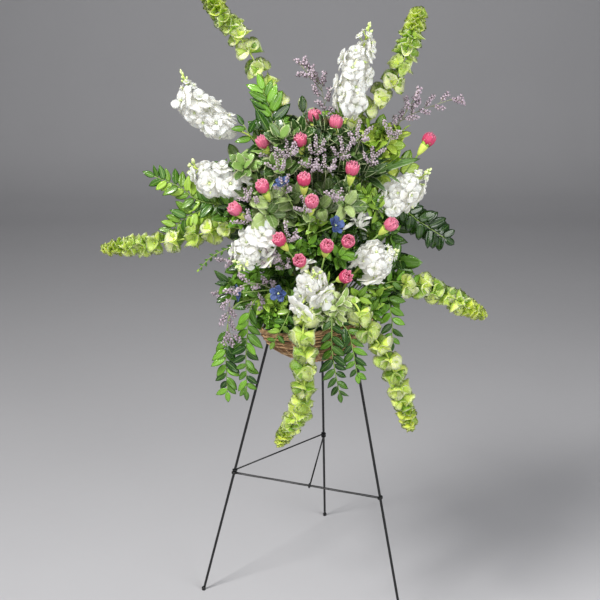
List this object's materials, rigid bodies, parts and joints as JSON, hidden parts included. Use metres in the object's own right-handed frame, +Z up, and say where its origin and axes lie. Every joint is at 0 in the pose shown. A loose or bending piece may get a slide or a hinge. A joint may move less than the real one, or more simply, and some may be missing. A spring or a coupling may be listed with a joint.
{
  "type": "standing funeral spray",
  "caption": "Standing funeral spray: white stock, pink carnations, bells of Ireland and mixed foliage in a wicker bowl on a tripod wire easel.",
  "frame": {"origin": "middle of the object's box on the floor", "axes": "+Z up, -Y to the front that the flowers face, +X to the right as seen from the front"},
  "size_m": [0.7626, 0.6052, 1.363],
  "materials": {
    "easel_black": "satin black enamel on steel wire",
    "wicker": "woven natural willow, matt",
    "liner_plastic": "thin dark green plastic",
    "foam": "dry green florist foam, matt",
    "bell_green": "fresh yellow-green calyx, soft sheen",
    "stock_white": "white petals, matt",
    "carnation_pink": "pink petals, matt",
    "calyx_green": "pale green stem and calyx, waxy",
    "leaf_green": "dark green leaf, semi-gloss",
    "variegated_green": "grey-green leaf with a cream edge",
    "limonium_lilac": "papery lilac-grey florets",
    "delphinium_blue": "deep blue petals, matt"
  },
  "bodies": {
    "root": {"leg_left": "easel_black", "leg_right": "easel_black", "leg_back": "easel_black", "leg_crown": "easel_black", "brace_front": "easel_black", "brace_side": "easel_black", "brace_hook": "easel_black", "basket_tie_left": "easel_black", "basket_tie_right": "easel_black", "basket": "wicker", "liner": "liner_plastic", "floral_foam": "foam", "bells_upper_left": "bell_green", "bells_upper_right": "bell_green", "bells_left": "bell_green", "bells_right": "bell_green", "bells_hanging_left": "bell_green", "bells_hanging_right": "bell_green", "stock_top": "stock_white", "stock_upper_left": "stock_white", "stock_left": "stock_white", "stock_left_centre": "stock_white", "stock_centre": "stock_white", "stock_right_centre": "stock_white", "stock_right": "stock_white", "carnation_bloom_top_1": "carnation_pink", "carnation_bloom_top_2": "carnation_pink", "carnation_bloom_top_3": "carnation_pink", "carnation_bloom_top_4": "carnation_pink", "carnation_bloom_left_1": "carnation_pink", "carnation_bloom_left_2": "carnation_pink", "carnation_bloom_left_3": "carnation_pink", "carnation_bloom_left_4": "carnation_pink", "carnation_bloom_right_1": "carnation_pink", "carnation_bloom_right_2": "carnation_pink", "carnation_bloom_right_3": "carnation_pink", "carnation_bloom_right_4": "carnation_pink", "carnation_bloom_centre_1": "carnation_pink", "carnation_bloom_centre_2": "carnation_pink", "carnation_bloom_centre_3": "carnation_pink", "carnation_bloom_centre_4": "carnation_pink", "carnation_spray_top": "calyx_green", "carnation_spray_left": "calyx_green", "carnation_spray_right": "calyx_green", "carnation_spray_centre": "calyx_green", "ruscus_top": "leaf_green", "ruscus_left": "leaf_green", "ruscus_right": "leaf_green", "ruscus_lower_left": "leaf_green", "ruscus_lower_right": "leaf_green", "ruscus_front": "leaf_green", "ruscus_front_left": "leaf_green", "pittosporum_upper_right": "variegated_green", "pittosporum_upper_left": "variegated_green", "pittosporum_centre": "variegated_green", "pittosporum_lower_right": "variegated_green", "limonium_top": "limonium_lilac", "limonium_right": "limonium_lilac", "delphinium_upper": "delphinium_blue", "delphinium_lower": "delphinium_blue"}
  },
  "joints": []
}
